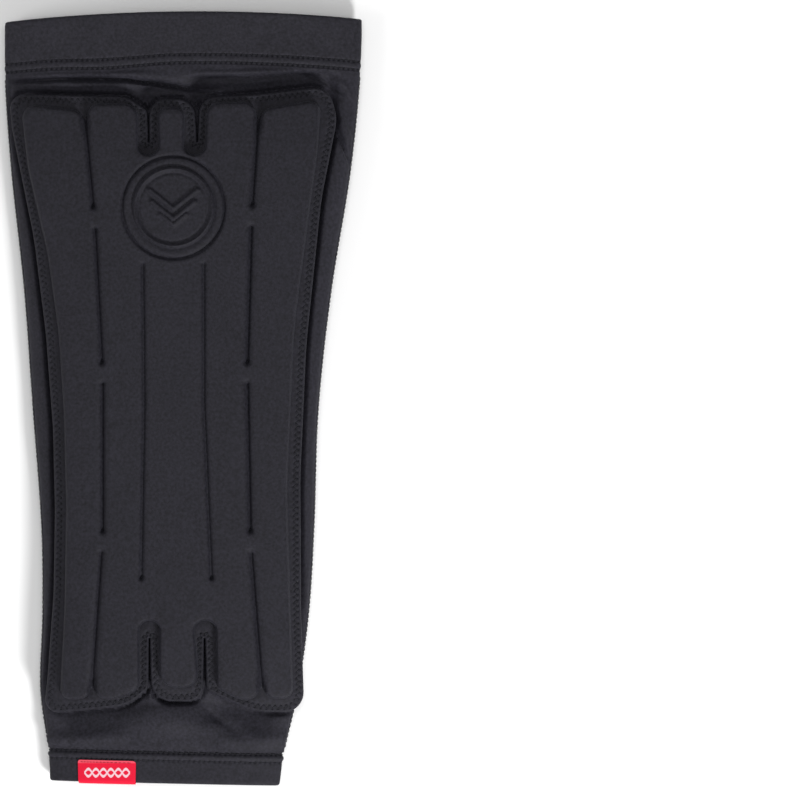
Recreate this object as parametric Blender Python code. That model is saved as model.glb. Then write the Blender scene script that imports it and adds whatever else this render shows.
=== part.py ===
"""Pull-on shin guard: a tapered stretch-knit sleeve with a moulded foam pad sewn to its front.

It lies on its back on the plane z = 0. +X is to the right, +Y runs to the knee end, and +Z points
out of the pad. The origin is on the resting plane, on the pad's centre line, half way up the sleeve.
Lengths are in millimetres and become metres in add_mesh.
"""

import math

import bmesh
import bpy
from mathutils.geometry import delaunay_2d_cdt

MM = 0.001

# Sleeve outline, seen from above: (y, x) of the left and right folds, from the ankle end up.
LEFT_FOLD = [(-182, -57.5), (-164, -58.5), (-136, -62), (-100, -61), (-60, -61.5), (-5, -65.5),
             (50, -69.5), (106, -75.5), (150, -78.5), (182, -78.5)]
RIGHT_FOLD = [(-182, 48), (-164, 50.5), (-136, 57), (-100, 62), (-60, 64.5), (-5, 66.5),
              (50, 72.5), (106, 81.5), (150, 86), (182, 87)]
# Heights of the outer surface along y: the crown over the pad, and the middle of the side folds.
CROWN = [(-182, 13.5), (-165, 14), (-140, 18), (-110, 20), (100, 21), (140, 18.5), (158, 16.5), (182, 16)]
FOLD_HEIGHT = [(-182, 5.5), (-140, 6.5), (130, 7), (182, 6.5)]
FOLD_WIDTH = 8.0  # how far in from the silhouette the back panel lifts off the table
ACROSS_POWER = 2.6
UP_POWER = 2.2
LEAST_RISE = 8.0  # the lowest crown, over the middle of its side fold
LEAST_FOLD = 5.5
# The ends of the sleeve bow outwards in the middle and run slightly off square.
KNEE_BOW, KNEE_TILT, KNEE_BOW_FROM, KNEE_BOW_OVER = 4.0, 0.7, 90, 60
ANKLE_TILT, ANKLE_TILT_FROM, ANKLE_TILT_OVER = 1.2, 120, 45

# Cloth
CLOTH = 1.0  # panel thickness
HEM_WALL = 0.6
HEM_GAP = 1.1  # between the two walls of a hem, filled by the elastic
HEM_PROUD = 0.5  # how far the front hems stand out from the front panel
HEM_LIFT = 0.7  # how far the back hems stand off the table, so that their thread rows clear it
THREAD = 0.3
THREAD_WIDTH = 0.8
GAP = 0.3  # clearance between neighbouring pieces
TOP_EDGE = 176.0
TOP_HEM = 24.8  # from the top edge to the mouth of the top hem
BOTTOM_EDGE = -179.5
BOTTOM_HEM = 15.5
ROW_SPACING = 3.5  # between the two needle rows of a hem
FIRST_ROW = 1.1  # from the mouth of a hem to its first needle row
SEAM_HALF_HEIGHT = 0.7
SIDE_GAP = 1.0  # from the middle of a side fold to the edge of a panel

# Pad
LINING = 1.0
COVER = 1.0
CORE_CROWN = 4.1
CORE_EDGE = 2.0
PAD_ARCH = 0.93  # the pad is a little flatter across than the sleeve under it
EDGE_BEVEL = 1.3
CROWN_BEVEL = 2.2
CROWN_RUN = 2.15  # from the edge of the core to its full height
GROOVE_HALF_WIDTH = 2.0
GROOVE_DEPTH = 2.0
RING = [(24.6, 0.0), (23.4, -0.9), (19.2, 0.0), (17.6, 0.8), (16.0, 0.0)]  # medallion: radius and height
MEDALLION = (0.0, 88.5)

# Corners (x, y, radius) of the pad's outer edge, clockwise from the top left. The two slits at the
# top and the two at the bottom are narrow notches that divide the edge into three lobes.
PAD_EDGE = [
    (-77.0, 141.5, 12), (-22.0, 140.0, 9), (-13.0, 134.0, 4), (-12.3, 119.0, 0.6), (-10.9, 119.0, 0.6),
    (-11.5, 139.0, 8), (9.0, 139.0, 8), (10.2, 119.0, 0.6), (11.6, 119.0, 0.6), (12.0, 139.5, 8),
    (37.5, 141.0, 60), (71.5, 145.0, 9), (76.0, 130.5, 20), (68.5, 92.5, 90), (61.5, 25.0, 150),
    (58.7, -36.5, 150), (59.0, -99.0, 100), (60.5, -146.3, 9), (37.5, -146.0, 30), (15.2, -135.5, 4),
    (14.9, -111.5, 0.6), (13.5, -111.5, 0.6), (13.3, -141.0, 5), (-10.5, -141.0, 8),
    (-10.7, -111.5, 0.6), (-12.1, -111.5, 0.6), (-11.9, -135.0, 4), (-21.5, -143.0, 25),
    (-61.0, -147.0, 9), (-59.0, -131.0, 20), (-56.0, -90.0, 90), (-55.4, -52.0, 90), (-56.3, -14.0, 90),
    (-59.6, 30.0, 90), (-65.1, 74.0, 90), (-75.6, 126.0, 15),
]
# Corners of the raised, padded area inside the flat flange. It has a shallow notch at both ends of
# the outer grooves and a deep round-ended one round each slit.
PADDED_AREA = [
    (-71.5, 137.0, 6), (-45.0, 133.0, 5), (-41.0, 124.5, 1), (-39.0, 137.0, 4), (-16.5, 137.0, 7),
    (-16.5, 113.3, 4.4), (-7.0, 113.3, 4.4), (-7.6, 135.2, 5), (5.3, 135.2, 5), (4.8, 113.3, 4.4),
    (14.3, 113.3, 4.4), (15.5, 137.5, 6), (37.0, 137.8, 5), (39.2, 124.5, 1), (41.0, 133.5, 4),
    (68.5, 139.2, 5), (66.0, 116.0, 60), (55.0, 30.0, 150), (51.2, -42.0, 150), (54.3, -110.0, 90),
    (55.5, -140.0, 5), (42.5, -140.0, 4), (40.6, -128.5, 1), (39.0, -140.3, 4), (30.0, -140.3, 8),
    (20.0, -135.0, 5), (19.4, -103.6, 4.4), (9.4, -103.6, 4.4), (12.0, -134.7, 5), (-7.0, -134.7, 4),
    (-6.6, -103.6, 4.4), (-15.8, -103.6, 4.4), (-15.8, -136.0, 6), (-28.0, -140.0, 8),
    (-36.0, -140.0, 4), (-37.8, -129.0, 1), (-40.3, -140.2, 4), (-53.2, -140.2, 5),
    (-51.0, -98.0, 90), (-50.5, -48.0, 90), (-52.5, 12.0, 120), (-63.5, 93.0, 120),
]
# Centre lines (x, y) of the pressed grooves: three broken runs down each outer side, one run down
# each inner side below the medallion.
GROOVES = [
    [(-41.0, 122.0), (-37.3, 89.0)], [(-36.4, 78.3), (-33.2, 16.8)], [(-32.9, 6.5), (-32.9, -61.5)],
    [(-33.5, -71.8), (-37.8, -127.0)], [(39.2, 122.0), (36.6, 89.9)], [(36.1, 79.2), (34.3, 16.8)],
    [(34.3, 6.5), (35.6, -61.5)], [(36.1, -72.2), (40.6, -127.0)], [(-14.2, 62.0), (-13.6, -1.0)],
    [(-13.6, -1.0), (-15.0, -83.4)], [(14.1, 62.0), (14.1, -1.0)], [(14.1, -1.0), (17.6, -83.4)],
]

# Label on the lower front hem, left of the middle
LABEL_X = (-44.5, -18.0)
LABEL_TOP = -169.3
LABEL_CLOTH = 0.5
LABEL_ROW = 1.0  # from the label's top edge to the row that tacks it down
STITCH_INSET = 1.8  # from the pad's edge to the thread run
STITCH_LIFT = 0.7  # clearance of the thread run over the flange
GRIP_BAND = (163.0, 169.0)
GRIP_THICKNESS = 0.6

COLOURS = {
    "sleeve_knit": ((0.022, 0.022, 0.028), 0.75),
    "cuff_knit": ((0.026, 0.026, 0.032), 0.72),
    "pad_knit": ((0.025, 0.025, 0.031), 0.7),
    "lining_cloth": ((0.03, 0.03, 0.035), 0.9),
    "foam": ((0.05, 0.05, 0.055), 0.95),
    "thread": ((0.03, 0.03, 0.034), 0.6),
    "elastic": ((0.04, 0.04, 0.045), 0.8),
    "silicone": ((0.03, 0.03, 0.035), 0.35),
    "label_red": ((0.72, 0.012, 0.04), 0.6),
}

# Fineness of the mesh
GRID = 16.0  # spacing of the points that carry the pad's arch
GRID_HALF = 192.0  # the grid's half side
GRID_CLEAR = 0.4 * GRID  # from a grid point to the nearest drawn line
STATIONS_ACROSS = 20
STATIONS_BACK_FOLD = 5
STATIONS_BACK_FLAT = 6
FRONT_ROWS, BACK_ROWS, SEAM_ROWS = 14, 12, 14
LABEL_STATIONS = 6
RING_STEPS = 24
EDGE_LONGEST = 14.0  # longest straight piece of the pad's edge
PADDED_LONGEST = 22.0
LARGE_RADIUS = 20.0  # arcs of this radius or more are split by LARGE_TURN, others by SMALL_TURN
SMALL_TURN, LARGE_TURN = math.radians(28), math.radians(6)
MOST_OF_SIDE = 0.48  # share of a side that a rounded corner may use
SHARP = math.radians(35)
SAME_PLACE = 0.01


def clear_scene():
    for thing in list(bpy.data.objects):
        bpy.data.objects.remove(thing)


def material(slot):
    found = bpy.data.materials.get(slot)
    if found:
        return found
    colour, roughness = COLOURS[slot]
    made = bpy.data.materials.new(slot)
    made.use_nodes = True
    shader = made.node_tree.nodes["Principled BSDF"]
    shader.inputs["Base Color"].default_value = (*colour, 1)
    shader.inputs["Roughness"].default_value = roughness
    shader.inputs["Metallic"].default_value = 0
    return made


def add_mesh(name, points, faces, slot):
    """A closed solid from points in millimetres, with its faces turned outwards."""
    mesh = bpy.data.meshes.new(name)
    mesh.from_pydata([[c * MM for c in p] for p in points], [], faces)
    shape = bmesh.new()
    shape.from_mesh(mesh)
    bmesh.ops.triangulate(shape, faces=shape.faces)
    bmesh.ops.recalc_face_normals(shape, faces=shape.faces)
    shape.to_mesh(mesh)
    shape.free()
    mesh.materials.append(material(slot))
    mesh.shade_smooth()
    mesh.set_sharp_from_angle(angle=SHARP)
    made = bpy.data.objects.new(name, mesh)
    bpy.context.scene.collection.objects.link(made)
    return made


def smooth_value(table, y):
    """Smooth curve through (y, value) pairs, with Catmull-Rom slopes."""
    if y <= table[0][0]:
        return table[0][1]
    if y >= table[-1][0]:
        return table[-1][1]
    i = max(k for k in range(len(table) - 1) if table[k][0] <= y)
    (y0, v0), (y1, v1) = table[i], table[i + 1]
    before, after = table[max(i - 1, 0)], table[min(i + 2, len(table) - 1)]
    slope0 = (v1 - before[1]) / (y1 - before[0])
    slope1 = (after[1] - v0) / (after[0] - y0)
    span = y1 - y0
    t = (y - y0) / span
    return ((2 * t**3 - 3 * t**2 + 1) * v0 + (t**3 - 2 * t**2 + t) * span * slope0
            + (3 * t**2 - 2 * t**3) * v1 + (t**3 - t**2) * span * slope1)


def middle_and_half(y):
    """The sleeve's centre line x and half width at y."""
    left, right = smooth_value(LEFT_FOLD, y), smooth_value(RIGHT_FOLD, y)
    return (left + right) / 2, (right - left) / 2


def bowed(y, q):
    """y of a row of the sleeve at q, which runs from -1 on the left to 1 on the right."""
    up = min(1, max(0, (y - KNEE_BOW_FROM) / KNEE_BOW_OVER))
    down = min(1, max(0, (-y - ANKLE_TILT_FROM) / ANKLE_TILT_OVER))
    return y + up * (KNEE_BOW * (1 - q * q) + KNEE_TILT * q) - down * ANKLE_TILT * q


def front_height(x, y, flatten=1.0):
    """Outer surface of the sleeve's front at (x, y): a superellipse over the side folds."""
    middle, half = middle_and_half(y)
    fold = smooth_value(FOLD_HEIGHT, y)
    u = min(1.0, abs(x - middle) / half * flatten)
    return fold + (smooth_value(CROWN, y) - fold) * (1 - u**ACROSS_POWER) ** (1 / UP_POWER)


def front_point(angle, y, depth):
    """Point under the front surface. The angle runs from 0 at the right fold to pi at the left."""
    middle, half = middle_and_half(y)
    fold = smooth_value(FOLD_HEIGHT, y)
    rise = smooth_value(CROWN, y) - fold
    c, s = math.cos(angle), max(0.0, math.sin(angle))
    q = math.copysign(abs(c) ** (2 / ACROSS_POWER), c)
    t = s ** (2 / UP_POWER)
    nx = math.copysign(abs(q) ** (ACROSS_POWER - 1), q) * ACROSS_POWER / half
    nz = t ** (UP_POWER - 1) * UP_POWER / rise
    length = math.hypot(nx, nz)
    return (middle + half * q - depth * nx / length, bowed(y, q), fold + rise * t - depth * nz / length)


def back_point(angle, y, depth):
    """Point above the back surface, which is flat on the table between its two side folds."""
    middle, half = middle_and_half(y)
    fold = smooth_value(FOLD_HEIGHT, y)
    flat = half - FOLD_WIDTH
    if abs(angle - math.pi / 2) <= math.pi / 4:
        x, z, nx, nz = flat * (math.pi / 2 - angle) / (math.pi / 4), 0.0, 0.0, -1.0
    else:
        side = 1 if angle < math.pi / 2 else -1
        turn = 2 * min(angle, math.pi - angle)
        x = side * (flat + FOLD_WIDTH * math.cos(turn))
        z = fold * (1 - math.sin(turn))
        nx, nz = side * math.cos(turn) / FOLD_WIDTH, -math.sin(turn) / fold
    length = math.hypot(nx, nz)
    return (middle + x - depth * nx / length, bowed(y, x / half), z - depth * nz / length)


def stations(side, clear):
    """Angles across the sleeve. clear is the gap left at the middle of each side fold."""
    if side == "front":
        low = math.asin((clear / LEAST_RISE) ** (UP_POWER / 2))
        return [low + (math.pi - 2 * low) * i / STATIONS_ACROSS for i in range(STATIONS_ACROSS + 1)]
    low = math.asin(clear / LEAST_FOLD) / 2
    fold = [low + (math.pi / 4 - low) * i / STATIONS_BACK_FOLD for i in range(STATIONS_BACK_FOLD + 1)]
    flat = [math.pi / 4 + math.pi / 2 * i / STATIONS_BACK_FLAT for i in range(1, STATIONS_BACK_FLAT)]
    return fold + flat + [math.pi - a for a in reversed(fold)]


def swept(name, side, profile, slot, clear=SIDE_GAP, angles=None):
    """A closed (y, depth) profile, swept across the front or the back of the sleeve."""
    point = front_point if side == "front" else back_point
    angles = angles or stations(side, clear)
    n = len(profile)
    points = [point(a, y, depth) for a in angles for y, depth in profile]
    faces = [[i * n + k, i * n + (k + 1) % n, (i + 1) * n + (k + 1) % n, (i + 1) * n + k]
             for i in range(len(angles) - 1) for k in range(n)]
    last = (len(angles) - 1) * n
    faces += [list(range(n)), [last + k for k in reversed(range(n))]]
    return add_mesh(name, points, faces, slot)


def flat_band(low, high, outer, inner, rows=1):
    """Profile of a plain band from y low to y high, between two depths, split into rows."""
    ys = [low + (high - low) * i / rows for i in range(rows + 1)]
    return [(y, outer) for y in ys] + [(y, inner) for y in reversed(ys)]


def folded_band(mouth, edge, outer, wall, gap):
    """Profile of a doubled band: its fold is at y edge, and it is open at y mouth."""
    way = math.copysign(1, edge - mouth)
    inner = outer + 2 * wall + gap
    half_way = (mouth + edge) / 2
    turn = edge - way * wall
    return [(mouth, outer), (half_way, outer), (turn, outer), (edge, outer + wall), (edge, inner - wall),
            (turn, inner), (half_way, inner), (mouth, inner), (mouth, inner - wall),
            (half_way, inner - wall), (turn, inner - wall), (turn, outer + wall),
            (half_way, outer + wall), (mouth, outer + wall)]


def make_panels():
    low, high = BOTTOM_EDGE + BOTTOM_HEM + GAP, TOP_EDGE - TOP_HEM - GAP
    swept("front_panel", "front", flat_band(low, high, 0, CLOTH, FRONT_ROWS), "sleeve_knit")
    swept("back_panel", "back", flat_band(low, high, 0, CLOTH, BACK_ROWS), "sleeve_knit")


def make_side_seam(name, sign):
    """Flat seam between the edges of the two panels, at the middle of a side fold."""
    low, high = BOTTOM_EDGE + BOTTOM_HEM + GAP, TOP_EDGE - TOP_HEM - GAP
    points = []
    for i in range(SEAM_ROWS + 1):
        y = low + (high - low) * i / SEAM_ROWS
        middle, half = middle_and_half(y)
        fold = smooth_value(FOLD_HEIGHT, y)
        for depth, z in ((0, -1), (0, 1), (CLOTH, 1), (CLOTH, -1)):
            points.append((middle + sign * (half - depth), bowed(y, sign), fold + z * SEAM_HALF_HEIGHT))
    faces = [[i * 4 + k, i * 4 + (k + 1) % 4, i * 4 + 4 + (k + 1) % 4, i * 4 + 4 + k]
             for i in range(SEAM_ROWS) for k in range(4)]
    faces += [[0, 1, 2, 3], [SEAM_ROWS * 4 + k for k in (3, 2, 1, 0)]]
    add_mesh(name, points, faces, "sleeve_knit")


def hem_outside(side):
    return -HEM_PROUD if side == "front" else HEM_LIFT


def hem_inside(side):
    return hem_outside(side) + 2 * HEM_WALL + HEM_GAP


def make_hem(name, side, mouth, edge, slot):
    """Doubled band with its elastic inside and two needle rows outside, near its mouth."""
    way = math.copysign(1, edge - mouth)
    outer = hem_outside(side)
    swept(f"{name}_hem_{side}", side, folded_band(mouth, edge, outer, HEM_WALL, HEM_GAP), slot, GAP)
    row = mouth + way * FIRST_ROW
    band = sorted((row + way * 2 * ROW_SPACING, edge - way * (HEM_WALL + GAP)))
    swept(f"{name}_elastic_{side}", side,
          flat_band(*band, outer + HEM_WALL + GAP, hem_inside(side) - HEM_WALL - GAP), "elastic", GAP)
    for k, place in ((0, "inner"), (1, "outer")):
        y = row + way * k * ROW_SPACING
        swept(f"{name}_{place}_stitch_row_{side}", side,
              flat_band(y - THREAD_WIDTH / 2, y + THREAD_WIDTH / 2, outer - GAP - THREAD, outer - GAP),
              "thread", GAP)


def make_grip_strips():
    """Soft strips on the inside of the knee-end cuff, which keep the sleeve from sliding down."""
    for side in ("front", "back"):
        depth = hem_inside(side) + GAP
        swept(f"grip_strip_{side}", side, flat_band(*GRIP_BAND, depth, depth + GRIP_THICKNESS),
              "silicone", GAP)


def make_label():
    """Woven strip folded over the lower edge of the front hem, and the thread that tacks it down."""
    middle, half = middle_and_half(BOTTOM_EDGE)
    ends = [math.acos(-abs((x - middle) / half) ** (ACROSS_POWER / 2)) for x in LABEL_X]
    angles = [ends[0] + (ends[1] - ends[0]) * i / LABEL_STATIONS for i in range(LABEL_STATIONS + 1)]
    near, far = hem_outside("front") - GAP, hem_inside("front") + GAP
    fold = BOTTOM_EDGE - GAP
    swept("hem_label", "front",
          [(LABEL_TOP, near - LABEL_CLOTH), (fold - LABEL_CLOTH, near - LABEL_CLOTH),
           (fold - LABEL_CLOTH, far + LABEL_CLOTH), (LABEL_TOP, far + LABEL_CLOTH), (LABEL_TOP, far),
           (fold, far), (fold, near), (LABEL_TOP, near)], "label_red", angles=angles)
    over = near - LABEL_CLOTH - GAP
    row = LABEL_TOP - LABEL_ROW
    swept("label_stitching", "front", flat_band(row - THREAD_WIDTH / 2, row, over - THREAD, over),
          "thread", angles=angles[1:-1])


def arc_corner(before, corner, after, radius):
    """Points of the arc that rounds one corner of an outline."""
    bx, by = before[0] - corner[0], before[1] - corner[1]
    ax, ay = after[0] - corner[0], after[1] - corner[1]
    bl, al = math.hypot(bx, by), math.hypot(ax, ay)
    bx, by, ax, ay = bx / bl, by / bl, ax / al, ay / al
    half = math.acos(max(-1, min(1, bx * ax + by * ay))) / 2
    reach = min(radius / math.tan(half), MOST_OF_SIDE * bl, MOST_OF_SIDE * al)
    radius = reach * math.tan(half)
    start = (corner[0] + bx * reach, corner[1] + by * reach)
    end = (corner[0] + ax * reach, corner[1] + ay * reach)
    mx, my = bx + ax, by + ay
    ml = math.hypot(mx, my)
    cx, cy = corner[0] + mx / ml * radius / math.sin(half), corner[1] + my / ml * radius / math.sin(half)
    turn = math.pi - 2 * half
    if radius < LARGE_RADIUS:
        steps = max(2, round(turn / SMALL_TURN))
    else:
        steps = max(1, round(turn / LARGE_TURN))
    a0 = math.atan2(start[1] - cy, start[0] - cx)
    a1 = math.atan2(end[1] - cy, end[0] - cx)
    sweep = (a1 - a0 + math.pi) % (2 * math.pi) - math.pi
    return [(cx + radius * math.cos(a0 + sweep * i / steps), cy + radius * math.sin(a0 + sweep * i / steps))
            for i in range(steps + 1)]


def rounded_outline(corners, longest):
    """Closed outline through rounded corners, with long straights split."""
    n = len(corners)
    line = []
    for i, (x, y, radius) in enumerate(corners):
        line += arc_corner(corners[i - 1], (x, y), corners[(i + 1) % n], radius)
    out = []
    for i, p in enumerate(line):
        q = line[(i + 1) % len(line)]
        pieces = max(1, math.ceil(math.dist(p, q) / longest))
        if math.dist(p, q) > SAME_PLACE / 10:
            out += [(p[0] + (q[0] - p[0]) * k / pieces, p[1] + (q[1] - p[1]) * k / pieces)
                    for k in range(pieces)]
    return out


def inset_outline(outline, inset):
    """Clockwise outline moved inwards by inset."""
    out = []
    n = len(outline)
    for i, p in enumerate(outline):
        a, b = outline[i - 1], outline[(i + 1) % n]
        e0 = ((p[0] - a[0]), (p[1] - a[1]))
        e1 = ((b[0] - p[0]), (b[1] - p[1]))
        l0, l1 = math.hypot(*e0), math.hypot(*e1)
        n0, n1 = (e0[1] / l0, -e0[0] / l0), (e1[1] / l1, -e1[0] / l1)
        nx, ny = n0[0] + n1[0], n0[1] + n1[1]
        scale = inset * 2 / (nx * nx + ny * ny)
        out.append((p[0] + nx * scale, p[1] + ny * scale))
    return out


def inside(outline, x, y):
    hit = False
    for i, (x1, y1) in enumerate(outline):
        x0, y0 = outline[i - 1]
        if (y0 > y) != (y1 > y) and x < (x1 - x0) * (y - y0) / (y1 - y0) + x0:
            hit = not hit
    return hit


def distance_to_line(line, x, y):
    """Distance from (x, y) to an open or closed polyline."""
    best = 1e9
    for (x0, y0), (x1, y1) in zip(line, line[1:]):
        dx, dy = x1 - x0, y1 - y0
        t = max(0, min(1, ((x - x0) * dx + (y - y0) * dy) / (dx * dx + dy * dy)))
        best = min(best, math.hypot(x - x0 - t * dx, y - y0 - t * dy))
    return best


def circle(radius, steps):
    return [(MEDALLION[0] + radius * math.cos(2 * math.pi * i / steps),
             MEDALLION[1] + radius * math.sin(2 * math.pi * i / steps)) for i in range(steps)]


def groove_lines():
    """For each groove, its closed rim and its bottom line."""
    made = []
    for (x0, y0), (x1, y1) in GROOVES:
        length = math.hypot(x1 - x0, y1 - y0)
        ux, uy = (x1 - x0) / length, (y1 - y0) / length
        steps = max(2, round(length / PADDED_LONGEST))
        bottom = [(x0 + ux * length * i / steps, y0 + uy * length * i / steps) for i in range(steps + 1)]
        w = GROOVE_HALF_WIDTH
        rim = [(x - uy * w, y + ux * w) for x, y in bottom]
        rim += [(x1 + ux * w, y1 + uy * w)]
        rim += [(x + uy * w, y - ux * w) for x, y in reversed(bottom)]
        rim += [(x0 - ux * w, y0 - uy * w)]
        made.append((rim, bottom))
    return made


def triangles_over(outline, loops, lines):
    """Flat triangles that fill an outline, with loops and lines as edges and a grid of points between.
    The grid is the same for every piece, so pieces that share their loops lie on one another exactly."""
    points = list(outline)
    edges = []
    for line, closing in [(loop, 0) for loop in loops] + [(line, 1) for line in lines]:
        first, count = len(points), len(line)
        points += line
        edges += [(first + i, first + (i + 1) % count) for i in range(count - closing)]
    guides = [outline + outline[:1]] + [loop + loop[:1] for loop in loops] + lines
    reach = round(GRID_HALF / GRID)
    for i in range(-reach, reach + 1):
        for j in range(-reach, reach + 1):
            x, y = i * GRID, j * GRID
            if inside(outline, x, y) and min(distance_to_line(g, x, y) for g in guides) > GRID_CLEAR:
                points.append((x, y))
    result = delaunay_2d_cdt(points, edges, [list(range(len(outline)))], 1, 1e-5)
    return [tuple(p) for p in result[0]], [list(f) for f in result[2]]


def plate(name, outline, top_detail, bottom_detail, low, high, slot):
    """Solid between two height fields over an outline. Each detail is (loops, lines)."""
    top, top_faces = triangles_over(outline, *top_detail)
    bottom, bottom_faces = triangles_over(outline, *bottom_detail)
    points = [(x, y, high(x, y)) for x, y in top]
    shift = len(points)
    points += [(x, y, low(x, y)) for x, y in bottom]
    faces = top_faces + [[shift + k for k in reversed(f)] for f in bottom_faces]
    n = len(outline)
    faces += [[i, (i + 1) % n, shift + (i + 1) % n, shift + i] for i in range(n)]
    return add_mesh(name, points, faces, slot)


def pad_base(x, y):
    """Height of the pad's underside, just clear of the sleeve."""
    return front_height(x, y, PAD_ARCH) + GAP


def make_pad():
    edge = rounded_outline(PAD_EDGE, EDGE_LONGEST)
    padded = rounded_outline(PADDED_AREA, PADDED_LONGEST)
    core_edge = inset_outline(padded, EDGE_BEVEL)
    crown_edge = inset_outline(core_edge, CROWN_BEVEL)
    grooves = groove_lines()
    rims = [rim for rim, _ in grooves]
    bottoms = [bottom for _, bottom in grooves]
    rings = [circle(radius, RING_STEPS) for radius, _ in RING]
    lining_top = LINING + GAP

    def relief(x, y):
        """Grooves and medallion: height added to the crown."""
        away = math.dist((x, y), MEDALLION)
        for (r0, h0), (r1, h1) in zip(RING, RING[1:]):
            if r1 <= away <= r0:
                return h1 + (h0 - h1) * (away - r1) / (r0 - r1)
        deep = min(distance_to_line(bottom, x, y) for bottom in bottoms)
        return -GROOVE_DEPTH * max(0.0, 1 - deep / GROOVE_HALF_WIDTH)

    def core_rise(x, y):
        rim = distance_to_line(core_edge + core_edge[:1], x, y)
        if rim < SAME_PLACE or not inside(core_edge, x, y):
            return CORE_EDGE
        return CORE_EDGE + (CORE_CROWN - CORE_EDGE) * min(1, rim / CROWN_RUN) + relief(x, y)

    def cover_low(x, y):
        if inside(core_edge, x, y) or distance_to_line(core_edge + core_edge[:1], x, y) < SAME_PLACE:
            return pad_base(x, y) + lining_top + core_rise(x, y) + GAP
        return pad_base(x, y) + lining_top

    relief_lines = ([crown_edge, *rims, *rings], bottoms)
    cover_lines = ([padded, core_edge, *relief_lines[0]], bottoms)
    flat_lines = ([padded, core_edge], [])
    plate("pad_lining", edge, flat_lines, ([], []), pad_base, lambda x, y: pad_base(x, y) + LINING,
          "lining_cloth")
    plate("pad_core", core_edge, relief_lines, ([], []), lambda x, y: pad_base(x, y) + lining_top,
          lambda x, y: pad_base(x, y) + lining_top + core_rise(x, y), "foam")
    plate("pad_cover", edge, cover_lines, cover_lines, cover_low, lambda x, y: cover_low(x, y) + COVER,
          "pad_knit")
    make_pad_stitching(edge, lining_top + COVER + STITCH_LIFT)


def make_pad_stitching(edge, rise):
    """One closed run of thread on the flange, all round the pad and its slits."""
    sides = [inset_outline(edge, STITCH_INSET + s * THREAD_WIDTH / 2) for s in (-1, 1)]
    n = len(edge)
    points = []
    for i in range(n):
        for side, lift in ((0, 0), (0, THREAD), (1, THREAD), (1, 0)):
            x, y = sides[side][i]
            points.append((x, y, pad_base(x, y) + rise + lift))
    faces = [[i * 4 + k, i * 4 + (k + 1) % 4, (i + 1) % n * 4 + (k + 1) % 4, (i + 1) % n * 4 + k]
             for i in range(n) for k in range(4)]
    add_mesh("pad_stitching", points, faces, "thread")


def main():
    clear_scene()
    make_panels()
    make_side_seam("left_side_seam", -1)
    make_side_seam("right_side_seam", 1)
    for side in ("front", "back"):
        make_hem("top", side, TOP_EDGE - TOP_HEM, TOP_EDGE, "cuff_knit")
        make_hem("bottom", side, BOTTOM_EDGE + BOTTOM_HEM, BOTTOM_EDGE, "sleeve_knit")
    make_grip_strips()
    make_pad()
    make_label()


main()
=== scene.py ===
"""Looks of the pull-on shin guard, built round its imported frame.

Lengths are in millimetres until add_mesh turns them into metres. The frame is the CAD's: +X to the
right, +Y to the knee end, +Z out of the pad, with the sleeve's back on z = 0.
"""

import math

import bmesh
import bpy
import numpy as np
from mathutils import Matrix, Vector
from mathutils.geometry import delaunay_2d_cdt


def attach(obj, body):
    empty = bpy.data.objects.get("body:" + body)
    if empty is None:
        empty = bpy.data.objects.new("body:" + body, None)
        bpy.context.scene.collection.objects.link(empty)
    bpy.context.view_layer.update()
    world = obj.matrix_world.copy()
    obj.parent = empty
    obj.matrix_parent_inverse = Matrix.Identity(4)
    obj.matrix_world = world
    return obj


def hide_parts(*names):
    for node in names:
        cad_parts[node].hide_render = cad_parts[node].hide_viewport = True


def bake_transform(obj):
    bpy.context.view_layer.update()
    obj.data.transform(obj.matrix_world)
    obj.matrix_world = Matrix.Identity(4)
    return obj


MM = 0.001
TAU = 2 * math.pi

# Sleeve, as in the CAD: (y, x) of the side folds and (y, z) of the crown and of the side folds
LEFT_FOLD = [(-182, -57.5), (-164, -58.5), (-136, -62), (-100, -61), (-60, -61.5), (-5, -65.5),
             (50, -69.5), (106, -75.5), (150, -78.5), (182, -78.5)]
RIGHT_FOLD = [(-182, 48), (-164, 50.5), (-136, 57), (-100, 62), (-60, 64.5), (-5, 66.5),
              (50, 72.5), (106, 81.5), (150, 86), (182, 87)]
CROWN = [(-182, 13.5), (-165, 14), (-140, 18), (-110, 20), (100, 21), (140, 18.5), (158, 16.5), (182, 16)]
FOLD_HEIGHT = [(-182, 5.5), (-140, 6.5), (130, 7), (182, 6.5)]
FOLD_WIDTH = 8.0
ACROSS_POWER = 2.6
UP_POWER = 2.2
CLOTH = 1.0
HEM_WALL = 0.6
HEM_GAP = 1.1
HEM_PROUD = 0.5
HEM_LIFT = 0.7
TOP_EDGE, TOP_HEM = 176.0, 24.8
BOTTOM_EDGE, BOTTOM_HEM = -179.5, 15.5
FIRST_ROW, ROW_SPACING = 1.1, 3.7
GRIP_BAND = (163.0, 169.0)
TOP_MOUTH, BOTTOM_MOUTH = TOP_EDGE - TOP_HEM, BOTTOM_EDGE + BOTTOM_HEM
HEM_THICK = 2 * HEM_WALL + HEM_GAP
TUCK = 4.0  # how far the tube runs in between the two walls of a hem
# Slots whose pieces are left in world space, on neither body. The heights, between which such a piece would
# pass from the back body to the front one as the tube opens, are not read here; a seam's are so far apart
# that it would stay half way.
STRETCH = {"knit": (2.6, 7.0), "seam": (-493.5, 506.5)}
LOWEST_FRONT = 7.5  # how low the front cloth may sink
TABLE_CLEAR = 0.02

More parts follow.
